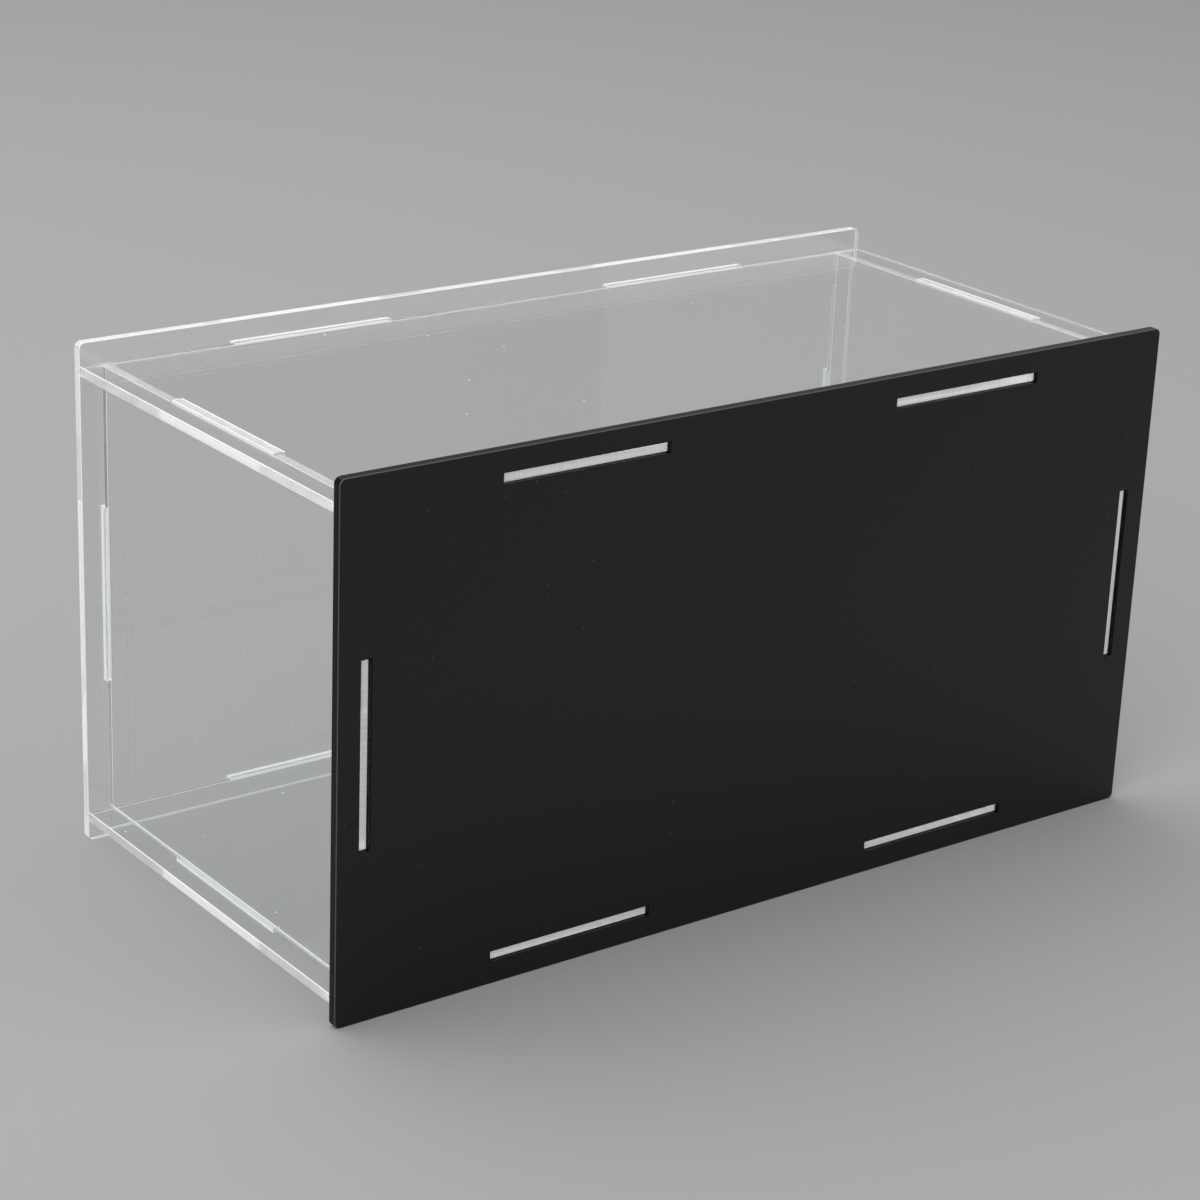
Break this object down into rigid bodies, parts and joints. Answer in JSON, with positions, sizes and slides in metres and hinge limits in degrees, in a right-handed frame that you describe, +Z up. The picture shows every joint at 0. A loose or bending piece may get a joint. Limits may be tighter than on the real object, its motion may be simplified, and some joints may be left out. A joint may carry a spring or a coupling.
{
  "type": "acrylic display case",
  "caption": "Flat-pack display case of interlocking acrylic sheets: clear walls and rear panel with tabs and slots, on a gloss black base panel that pulls off.",
  "frame": {"origin": "on the surface that the case stands on, under the middle of its box", "axes": "+X along the width, +Y from the black panel to the rear panel, +Z up as it stands in the picture"},
  "size_m": [0.3, 0.147, 0.16],
  "materials": {
    "black_acrylic": "opaque black cast acrylic, mirror gloss faces, laser-cut edges",
    "clear_acrylic": "clear cast acrylic, mirror gloss faces, bright laser-cut edges"
  },
  "bodies": {
    "walls": {"top_wall": "clear_acrylic", "bottom_wall": "clear_acrylic", "left_end_wall": "clear_acrylic", "right_end_wall": "clear_acrylic"},
    "black_base": {"black_panel": "black_acrylic"},
    "rear_cover": {"rear_panel": "clear_acrylic"}
  },
  "joints": [
    {"name": "black_panel_pull", "type": "slide", "parent": "walls", "child": "black_base", "axis": [0, -1, 0], "range_m": [0, 0.15]},
    {"name": "rear_panel_pull", "type": "slide", "parent": "walls", "child": "rear_cover", "axis": [0, 1, 0], "range_m": [0, 0.15]}
  ]
}
